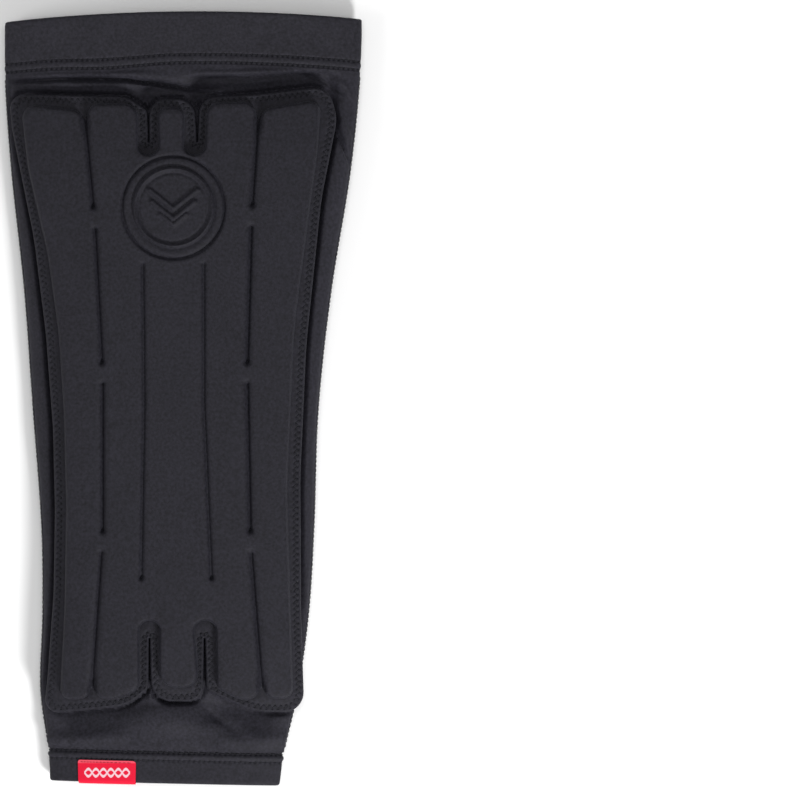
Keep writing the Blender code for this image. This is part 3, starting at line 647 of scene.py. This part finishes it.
def make_tube():
    low, high = BOTTOM_MOUTH, TOP_MOUTH
    ys = np.concatenate([
        [low - TUCK, low - 2, low - 0.4], np.arange(low, -140, 0.8), np.arange(-140, 112, 2.2),
        np.arange(112, 138, 1.2), np.arange(138, high, 0.6), [high, high + 0.4, high + 2, high + TUCK]])
    columns = 620
    u = even_ring(30, columns)[:, None]
    plain = ring_point(u, ys[None], 0.0)
    at_end = 1 - smooth(np.minimum(ys - low, high - ys) / 9)  # 1 inside a hem, 0 along the tube
    on_front = smooth(np.minimum(u, 1 - u) * 14)  # 0 on the side folds and the back
    off_mouth = smooth((np.minimum(ys - low, high - ys) - 0.4) / 2.6)
    rise = drape(plain[..., 0], plain[..., 1]) * on_front * off_mouth
    # the cloth sinks less and less as it nears the lowest height
    sunk, room = np.clip(-rise, 0, None), np.maximum(plain[..., 2] - LOWEST_FRONT, 0.01)
    rise = np.where(rise < 0, -sunk / (1 + (sunk / room) ** 4) ** 0.25, rise)
    # level with the hems up to their mouths, then tucked in between their walls
    tucked = (ys < low - 0.1) | (ys > high + 0.1)
    outer = hem_lift(u, np.where(tucked, 0.55, -0.45 * at_end), 1.45 * at_end) - rise
    thick = CLOTH - 0.4 * at_end
    points = np.concatenate([ring_point(u, ys[None], outer),
                             ring_point(u, ys[None], outer + thick)[:, ::-1]], 1)
    points[..., 2] = np.maximum(points[..., 2], TABLE_CLEAR)
    made = add_mesh("sleeve_tube", points.reshape(-1, 3), ring_faces(columns, points.shape[1]), SLEEVE_LOOK)
    place(made, "sleeve_knit", "knit", "front_panel", "back_panel")


def hole_pull(u, y, row, count):
    """How near each point lies to a needle hole of a row, from 0 to 1, and to the row itself."""
    dense, run = ring_lengths(row)
    s = np.interp(u % 2, dense, run) / run[-1] * count
    ds = np.abs(s - np.round(s)) * run[-1] / count
    return np.exp(-((ds / 0.5) ** 2 + ((y - row) / 0.55) ** 2)), np.exp(-(((y - row) / 0.8) ** 2))


def add_band(name, us, ys, near, far, look, slot, nodes):
    """Closed band round the sleeve between two depths."""
    points = np.concatenate([ring_point(us, ys, near), ring_point(us, ys[:, ::-1], far)], 1)
    made = add_mesh(name, points.reshape(-1, 3), ring_faces(len(us), points.shape[1]), look)
    place(made, slot, "knit", *nodes)


def make_hem(end, mouth, edge, look, slot, lip, puff, pulls):
    """Doubled band with its elastic and its two needle rows. lip is how far the cloth is drawn in at its
    mouth, puff how far it swells between the rows, and pulls the depths (holes, line) of the two rows."""
    way = math.copysign(1, edge - mouth)
    rows = [mouth + way * (FIRST_ROW + k * ROW_SPACING) for k in (0, 1)]
    count = round(ring_lengths(rows[0])[1][-1] / PITCH)
    u = even_ring(rows[0], count * 6)[:, None]
    outer = hem_lift(u, -HEM_PROUD, HEM_LIFT)
    radius = HEM_THICK / 2
    middle = outer + radius
    span = abs(edge - mouth)
    # distances from the mouth of the points along the outside
    d = np.concatenate([np.arange(0, FIRST_ROW + ROW_SPACING + 1.5, 0.3), np.arange(6.4, span - radius, 1.5)])
    y = mouth + way * d
    rise = np.zeros((len(u), len(d)))
    for row, (hole_depth, line_depth) in zip(rows, pulls):
        hole, line = hole_pull(u, y, row, count)
        rise -= hole_depth * hole + line_depth * line
    rise += puff * np.exp(-((y - sum(rows) / 2) ** 2))
    ripple = 0.12 * np.sin(u * 23.0) * np.sin(y / 4.0) + 0.08 * np.sin(u * 61.0 + 1) * np.sin(y / 2.6)
    rise += ripple * smooth((d - 5) / 5)
    rise -= lip * np.exp(-((d / 1.3) ** 2))
    outside = ring_point(u, y, outer - rise)
    turn = np.linspace(0, math.pi, 11)[1:-1]
    fold_y = edge - way * radius
    over = ring_point(u, fold_y + way * radius * np.sin(turn), middle - radius * np.cos(turn))
    d_in = np.arange(0, span - radius, 2.0)[::-1]
    y_in = mouth + way * d_in
    inner = ring_point(u, y_in, outer + HEM_THICK)
    inner_gap = ring_point(u, y_in[::-1], outer + HEM_THICK - HEM_WALL)
    gap, back = radius - HEM_WALL, turn[::-2]
    over_gap = ring_point(u, fold_y + way * gap * np.sin(back), middle - gap * np.cos(back))
    outer_gap = ring_point(u, y_in, outer + HEM_WALL + 0.4 * smooth((7.5 - d_in) / 1.5))
    points = np.concatenate([outside, over, inner, inner_gap, over_gap, outer_gap], 1)
    made = add_mesh(f"{end}_cuff_band", points.reshape(-1, 3), ring_faces(len(u), points.shape[1]), look)
    place(made, slot, "knit", f"{end}_hem_front", f"{end}_hem_back")

    # elastic band between the two walls
    columns = 260
    u = even_ring(edge, columns)[:, None]
    low, high = sorted((rows[0] + way * 2 * ROW_SPACING, edge - way * (HEM_WALL + 0.5)))
    outer = hem_lift(u, -HEM_PROUD, HEM_LIFT) + 0.05 * np.sin(np.arange(columns) * TAU / 2.5)[:, None]
    add_band(f"{end}_elastic_band", u, np.linspace(low, high, 9)[None], outer + HEM_WALL + 0.25,
             outer + HEM_THICK - HEM_WALL - 0.25, ELASTIC_LOOK, "elastic",
             (f"{end}_elastic_front", f"{end}_elastic_back"))

    # needle rows
    for which, row in zip(("inner", "outer"), rows):
        dense, run = ring_lengths(row)
        start = np.arange(count)[:, None] / count
        t = np.linspace(0.04, 0.96, 7)[None]
        at = np.interp((start + t / count) * run[-1], run, dense)
        lift = 0.34 * np.sin(math.pi * t) ** 0.5 - 0.36 - (0.4 * lip if which == "inner" else 0)
        depth = hem_lift(at, -HEM_PROUD, HEM_LIFT) - lift + 0.05
        ys = row + 0.12 * np.sin(start * 977)
        name = f"{end}_{which}"
        ring_threads(f"{name}_needle_row", at, ys, depth, THREAD, THREAD_LOOK, "knit",
                     f"{name}_stitch_row_front", f"{name}_stitch_row_back")


def make_grip():
    """Soft ring inside the knee-end cuff: a low, wavy bead."""
    columns, waves, swing = 420, 30, 0.7
    u = even_ring(sum(GRIP_BAND) / 2, columns)[:, None]
    depth = hem_lift(u, -HEM_PROUD, HEM_LIFT) + HEM_THICK + 0.12
    t = np.linspace(0, 1, 9)[None]
    wave = swing * np.sin(np.arange(columns) * TAU * waves / columns)[:, None]
    ys = GRIP_BAND[0] + swing + (GRIP_BAND[1] - GRIP_BAND[0] - 2 * swing) * t + wave
    bead = 0.25 + 0.6 * np.sin(math.pi * t[:, ::-1]) ** 0.6
    add_band("grip_ring", u, ys, depth, depth + bead, GRIP_LOOK, "silicone",
             ("grip_strip_front", "grip_strip_back"))


def make_side_seam(name, at, node):
    """Flat seam down a side fold: a low padded strip with a ladder of crossing threads."""
    low, high = BOTTOM_MOUTH + 1.0, TOP_MOUTH - 1.0
    count = round(high - low)
    ys = np.linspace(low, high, count)[None]
    half = 0.0105
    turn = np.linspace(-1, 1, 7)
    us = (at + half * turn)[:, None]
    proud = (0.08 + 0.3 * np.sqrt(1 - turn**2))[:, None]
    bite = 0.05 * np.sin(ys * TAU / 2.0)
    top = ring_point(us, ys, -proud - bite * (1 - turn**2)[:, None])
    under = ring_point(us, ys, 0.1)
    loop = np.concatenate([top, under[::-1]], 0).transpose(1, 0, 2)  # rows along y, closed across
    made = add_mesh(name, loop.reshape(-1, 3), tube_faces(count, loop.shape[1]), SLEEVE_LOOK)
    place(made, "sleeve_knit", "seam", node)

    stitches = round((high - low) / SEAM_PITCH)
    start = (low + 1 + np.arange(stitches) * (high - low - 2) / stitches)[:, None]
    t = np.linspace(0, 1, 6)[None]
    swing = np.where(np.arange(stitches)[:, None] % 2, t, 1 - t) * 2 - 1
    at_u = at + half * 1.15 * swing
    ys = start + SEAM_PITCH * t
    lift = 0.30 + 0.34 * np.sin(math.pi * t)
    ring_threads(f"{name}_threads", at_u, ys, -lift, THREAD, THREAD_LOOK, "seam")


# ---- pad


EDGE = rounded_outline(PAD_EDGE, 2.2, 9)
PADDED = rounded_outline(PADDED_AREA, 2.2, 9)


def pad_base(x, y):
    return front_height(x, y, PAD_ARCH) + GAP


def crown_share(deep, reach):
    """Rounded step: 0 at deep 0 and below, 1 from reach on, steep at its foot."""
    t = np.clip(deep / reach, 0, 1)
    return (1 - (1 - t) ** 2.3) ** (1 / 1.9)


def groove_cut(x, y):
    """Depth of the pressed grooves: a soft valley with a crease in it. An open one deepens towards its
    mouth on the flange."""
    cut = np.zeros(np.shape(x))
    for start, end, half, depth, crease_depth, opens in GROOVES:
        away, along = nearest([start, end], x, y)
        run = (along if opens == 1 else 1 - along) * math.dist(start, end)
        if opens:
            at_mouth = 1 - smooth((run - MOUTH_RUN[0]) / (MOUTH_RUN[1] - MOUTH_RUN[0]))
            depth += (MOUTH_DEPTH - depth) * at_mouth
        valley = 0.5 + 0.5 * np.cos(math.pi * np.clip(away / half, 0, 1))
        cut = np.maximum(cut, depth * valley + crease_depth * np.exp(-((away / CREASE) ** 2)))
    for (px, py), depth in PITS:
        cut += depth * np.exp(-((x - px) ** 2 + (y - py) ** 2) / PIT_REACH**2)
    return cut


def medallion_relief(x, y):
    away = np.hypot(x - MEDALLION[0], y - MEDALLION[1])
    radii, heights = np.array(RINGS, float).T
    rise = np.interp(away, radii, heights)
    for line in CHEVRONS:
        rise += 1.25 * (1 - smooth((nearest(line, x, y)[0] - 0.5) / 0.85))
    return rise


def cover_top(x, y):
    """Height of the cover over the pad's underside."""
    edge = np.clip(inwards(EDGE, x, y), 0, None)
    deep = inwards(PADDED, x, y)
    in_edge = EDGE_ROUND - np.minimum(edge, EDGE_ROUND)
    flange = FLANGE_TOP - EDGE_ROUND + np.sqrt(EDGE_ROUND**2 - in_edge**2)
    # the flange is pulled in along its stitching and meets the lanes in a slight hollow
    flange -= 0.22 * np.exp(-(((edge - 2.7) / 1.3) ** 2)) * smooth(edge / 1.2)
    flange -= 0.18 * np.exp(-((np.minimum(deep, 0) / 0.9) ** 2)) * smooth(edge / 2.5)
    body = (CROWN_TOP - FLANGE_TOP) * crown_share(deep, WALL_REACH)
    body = np.maximum(body - groove_cut(x, y), 0)
    body += 0.10 * np.sin(x / 8.5 + 0.6) * np.sin(y / 19.0) * smooth(deep / 6)
    body += medallion_relief(x, y) * smooth(deep / 3)
    return flange + np.where(deep > 0, body, 0)


def needle_path():
    """Outer and inner needle points of the zigzag round the flange."""
    middle, n = walk(np.array(inset_outline(EDGE, ZIGZAG_INSET)), ZIGZAG_PITCH)
    room = np.clip(-inwards(PADDED, middle[:, 0], middle[:, 1]) - 0.9, 0.25, 1.0)
    for _ in range(3):
        room = (np.roll(room, 1) + room + np.roll(room, -1)) / 3
    half_way = (middle + np.roll(middle, -1, 0)) / 2
    n2 = n + np.roll(n, -1, 0)
    n2 /= np.linalg.norm(n2, axis=1)[:, None]
    return middle - n * 0.8, half_way + n2 * room[:, None]


def circle(middle, radius, count):
    turns = [TAU * k / count for k in range(count)]
    return [(middle[0] + radius * math.cos(a), middle[1] + radius * math.sin(a)) for a in turns]


def triangles_over(outline, loops, lines, spots, spacing, fine=None):
    """Triangles that fill an outline: loops and lines as edges, spots, and a grid between them. fine is
    the spacing, middle and radius of a round region with a finer grid."""
    points, edges = [tuple(p) for p in outline], []
    for line, closing in [(loop, 0) for loop in loops] + [(line, 1) for line in lines]:
        first, count = len(points), len(line)
        points += [tuple(p) for p in line]
        edges += [(first + i, first + (i + 1) % count) for i in range(count - closing)]
    for size in (spacing, fine[0]) if fine else (spacing,):
        gx, gy = np.meshgrid(np.arange(-90, 90, size), np.arange(-160, 160, size * 0.866))
        gx += (np.arange(gx.shape[0]) % 2)[:, None] * size / 2
        gx, gy = gx.ravel(), gy.ravel()
        keep = inside(outline, gx, gy)
        if fine:
            in_fine = np.hypot(gx - fine[1][0], gy - fine[1][1]) < fine[2]
            keep &= in_fine == (size == fine[0])
        gx, gy = gx[keep], gy[keep]
        room = nearest(outline, gx, gy, closed=True)[0]
        for loop in loops:
            room = np.minimum(room, nearest(loop, gx, gy, closed=True)[0])
        for line in lines:
            room = np.minimum(room, nearest(line, gx, gy)[0])
        keep = room > size * 0.45
        gx, gy = gx[keep], gy[keep]
        far = np.ones(len(gx), bool)
        for sx, sy in spots:
            far &= (gx - sx) ** 2 + (gy - sy) ** 2 > 1.0
        points += list(zip(gx[far].tolist(), gy[far].tolist()))
    for spot in spots:
        points += [tuple(spot), *circle(spot, 0.38, 6), *circle(spot, 0.8, 8)]
    result = delaunay_2d_cdt(points, edges, [list(range(len(outline)))], 1, 1e-5)
    return np.array([tuple(p) for p in result[0]]), [list(f) for f in result[2]]


def plate(name, outline, top, bottom, high, low, look, sharp=50):
    """Solid between two height functions over an outline. top and bottom are triangles_over results."""
    (tp, tf), (bp, bf) = top, bottom
    points = np.vstack([np.column_stack([tp, high(tp[:, 0], tp[:, 1])]),
                        np.column_stack([bp, low(bp[:, 0], bp[:, 1])])])
    shift, n = len(tp), len(outline)
    faces = tf + [[shift + k for k in reversed(f)] for f in bf]
    faces += [[i, (i + 1) % n, shift + (i + 1) % n, shift + i] for i in range(n)]
    return add_mesh(name, points, faces, look, sharp)


def capsule(start, end, reach, step):
    """Closed loop round a straight line, with points at most step apart along it."""
    start, end = np.array(start), np.array(end)
    way = (end - start) / np.hypot(*(end - start))
    side = np.array((-way[1], way[0]))
    along = spaced(start, end, step)
    turn = [math.pi * k / 8 for k in range(1, 8)]
    loop = [p + side * reach for p in along]
    loop += [end + reach * (side * math.cos(a) + way * math.sin(a)) for a in turn]
    loop += [p - side * reach for p in reversed(along)]
    loop += [start + reach * (-side * math.cos(a) - way * math.sin(a)) for a in turn]
    return [tuple(p) for p in loop]


def make_pad():
    outer, inner = needle_path()
    holes = np.vstack([outer, inner])
    free = (inwards(EDGE, *holes.T) > 0.9) & (inwards(PADDED, *holes.T) < -0.45)
    spots = holes[free]
    depths = np.repeat((0.75, 0.45), (len(outer), len(inner)))[free]

    loops = [inset_outline(EDGE, i) for i in (0.06, 0.2, 0.45, 0.8)]
    loops += [PADDED] + [inset_outline(PADDED, i) for i in (0.05, 0.15, 0.35, 0.65, 1.0, 1.5)]
    loops += [circle(MEDALLION, radius, 132) for radius, _ in RINGS[1:-1]]
    lines = []
    for start, end, half, *_ in GROOVES:
        lines.append(spaced(start, end, GROOVE_STEP))
        for reach in (0.25, 0.5, 0.75, 1.05, 1.45, 0.62 * half, 0.8 * half, half, 1.2 * half):
            loop = capsule(start, end, reach, GROOVE_STEP)
            lines.append(loop + loop[:1])
    top = triangles_over(EDGE, loops, lines + CHEVRONS, spots, 1.9, fine=(0.62, MEDALLION, 14.6))

    def high(x, y):
        pull = np.zeros(np.shape(x))
        for (sx, sy), depth in zip(spots, depths):
            pull = np.maximum(pull, depth * np.exp(-((x - sx) ** 2 + (y - sy) ** 2) / 0.2))
        return pad_base(x, y) + cover_top(x, y) - pull

    def cover_low(x, y):
        deep = inwards(PADDED, x, y)
        rise = COVER_LOW + 4.0 * smooth((deep - 1.0) / 3.0)
        return pad_base(x, y) + np.minimum(rise, np.maximum(cover_top(x, y) - 0.55, COVER_LOW * 0.7))

    core_line = inset_outline(PADDED, 1.1)
    under_loops = [core_line, inset_outline(PADDED, 2.0)]
    groove_lines = [[start, end] for start, end, *_ in GROOVES]
    groove_lines += [capsule(start, end, reach, 3.0) for start, end, *_ in GROOVES for reach in (0.8, 1.8)]
    coarse = 4.0
    under = triangles_over(EDGE, under_loops, groove_lines, [], coarse)
    cover = plate("pad_cover_knit", EDGE, top, under, high, cover_low, PAD_LOOK, sharp=60)
    place(cover, "pad_knit", "front", "pad_cover")

    # foam core, closely under the cover
    flat = triangles_over(core_line, [inset_outline(PADDED, 2.6)], groove_lines, [], coarse)
    core = plate("pad_foam", core_line, flat, flat,
                 lambda x, y: np.maximum(cover_low(x, y) - 0.25, pad_base(x, y) + LINING_TOP + 0.12),
                 lambda x, y: pad_base(x, y) + LINING_TOP + 0.04, FOAM_LOOK)
    place(core, "foam", "front", "pad_core")

    # backing cloth
    rounding = 0.5
    flat = triangles_over(EDGE, [inset_outline(EDGE, rounding)], [], [], coarse)

    def backing_top(x, y):
        edge = np.clip(inwards(EDGE, x, y), 0, rounding)
        return pad_base(x, y) + LINING_TOP - 0.3 * (1 - edge / rounding) ** 2

    backing = plate("pad_backing", EDGE, flat, flat, backing_top, pad_base, LINING_LOOK)
    place(backing, "lining_cloth", "front", "pad_lining")

    # zigzag thread round the flange
    t = np.linspace(0, 1, 7)[None, :, None]
    ahead = np.roll(outer, -1, 0)
    path = np.concatenate([outer[:, None] * (1 - t) + inner[:, None] * t,
                           inner[:, None] * (1 - t) + ahead[:, None] * t])
    x, y = path[..., 0], path[..., 1]
    lift = 0.34 * np.sin(math.pi * t[..., 0]) ** 0.55 - 0.34
    z = pad_base(x, y) + np.minimum(cover_top(x, y), FLANGE_TOP + 0.2) + lift
    path = np.stack([x, y, z], -1)
    normal = np.broadcast_to((0.0, 0.0, 1.0), path.shape)
    made = threads("pad_zigzag_thread", path, normal, 0.19, THREAD_LOOK)
    place(made, "thread", "front", "pad_stitching")


# ---- label


def make_label():
    """Woven strip folded over the lower edge of the bottom hem, with its tacking row."""
    middle, half = middle_and_half(BOTTOM_EDGE)
    ends = [math.acos(-abs((x - middle) / half) ** (ACROSS_POWER / 2)) / math.pi for x in LABEL_X]
    columns, width = 41, LABEL_X[1] - LABEL_X[0]
    share = 0.5 - 0.5 * np.cos(np.linspace(0, math.pi, columns))[:, None]
    u = ends[0] + (ends[1] - ends[0]) * share
    centre, reach, thick, rows = HEM_THICK / 2 - HEM_PROUD, 1.75, 0.22, 14
    fold_y = BOTTOM_EDGE + HEM_THICK / 2
    run = np.linspace(LABEL_TOP, fold_y, rows)
    turn = np.linspace(0, math.pi, 13)[1:-1]
    path_y = np.concatenate([run, fold_y - reach * np.sin(turn), run[::-1]])
    path_d = centre + reach * np.concatenate([-np.ones(rows), -np.cos(turn), np.ones(rows)])
    # tangent and normal of the path in the (y, depth) plane
    ty, td = np.gradient(path_y), np.gradient(path_d)
    length = np.hypot(ty, td)
    ny, nd = -td / length, ty / length
    edge = np.abs(2 * share - 1)
    swell = thick * (1 - 0.35 * smooth((edge - 0.93) / 0.07))
    wave = 0.10 * np.sin(9 * share) * np.sin(np.linspace(0, 5, len(path_y)))
    # rounded corners at both ends of the strip
    in_corner = np.clip(LABEL_ROUND - (1 - edge) / 2 * width, 0, None)
    drop = LABEL_ROUND - np.sqrt(LABEL_ROUND**2 - in_corner**2)
    path_y = path_y - drop * np.clip(1 - (LABEL_TOP - path_y) / 2.5, 0, 1)
    face = ring_point(u, path_y + ny * swell, path_d + nd * swell - wave)
    back = ring_point(u, path_y - ny * swell, path_d - nd * swell - wave)
    points = np.concatenate([face, back[:, ::-1]], 1)
    around = points.shape[1]
    last = (columns - 1) * around
    caps = [[k, k + 1, around - 2 - k, around - 1 - k] for k in range(around // 2 - 1)]
    faces = tube_faces(columns, around)[:-2] + caps + [[last + k for k in reversed(cap)] for cap in caps]
    made = add_mesh("woven_label", points.reshape(-1, 3), faces, LABEL_LOOK)
    place(made, "label_red", "front", "hem_label")

    count = round((width - 2) / TACK_PITCH)
    start = np.linspace(ends[0], ends[1], count + 3)[1:-2, None]
    step = (ends[1] - ends[0]) / (count + 2)
    t = np.linspace(0.06, 0.94, 6)[None]
    lift = 0.2 * np.sin(math.pi * t) ** 0.5 - 0.12
    ring_threads("label_tack_row", start + step * t, LABEL_TOP - 1.0, centre - reach - thick - lift, 0.18,
                 LABEL_THREAD_LOOK, "front", "label_stitching")


make_tube()
make_hem("top", TOP_MOUTH, TOP_EDGE, CUFF_LOOK, "cuff_knit", 0.2, 0.16, ((0.82, 0.08), (0.82, 0.08)))
make_hem("bottom", BOTTOM_MOUTH, BOTTOM_EDGE, HEM_LOOK, "sleeve_knit", 0.55, 0.4, ((0.7, 0.3), (0.5, 0.03)))
make_grip()
make_side_seam("right_seam_strip", 0.0, "right_side_seam")
make_side_seam("left_seam_strip", 1.0, "left_side_seam")
make_pad()
make_label()


# ---- floor, light and camera


def make_floor():
    mesh = bpy.data.meshes.new("floor")
    half = 6.0
    corners = [(-half, -half, 0), (half, -half, 0), (half, half, 0), (-half, half, 0)]
    mesh.from_pydata(corners, [], [[0, 1, 2, 3]])
    mesh.materials.append(Nodes("floor_white", 0.1, Base_Color=(0.92, 0.92, 0.92, 1), Roughness=0.9).material)
    floor = bpy.data.objects.new("floor", mesh)
    floor.location.z = -0.0002
    bpy.context.scene.collection.objects.link(floor)


def area_light(name, at, size, power):
    """Round lamp turned towards the middle of the guard."""
    light = bpy.data.lights.new(name, "AREA")
    light.shape = "DISK"
    light.size = size
    light.energy = power
    made = bpy.data.objects.new(name, light)
    made.location = at
    made.rotation_euler = (Vector() - Vector(at)).to_track_quat("-Z", "Y").to_euler()
    bpy.context.scene.collection.objects.link(made)


def make_stage():
    make_floor()
    world = bpy.data.worlds.new("studio")
    world.use_nodes = True
    background = world.node_tree.nodes["Background"]
    background.inputs["Color"].default_value = (1, 1, 1, 1)
    background.inputs["Strength"].default_value = 0.26
    bpy.context.scene.world = world
    area_light("key", (0.75, -1.25, 0.95), 0.5, 33)
    area_light("fill", (-1.3, -0.2, 0.8), 0.8, 8)
    area_light("top", (0.0, 0.3, 1.9), 1.0, 11)
    bpy.context.scene.view_settings.view_transform = "Standard"

    camera = bpy.data.cameras.new("camera")
    camera.lens = 400
    camera.sensor_width = 36
    camera.clip_end = 20
    made = bpy.data.objects.new("camera", camera)
    width, mid_height = 0.3728, 0.010  # the view's width, at this height
    distance = width * camera.lens / camera.sensor_width
    made.location = (0.1051, -0.0009, distance + mid_height)
    bpy.context.scene.collection.objects.link(made)
    bpy.context.scene.camera = made


make_stage()
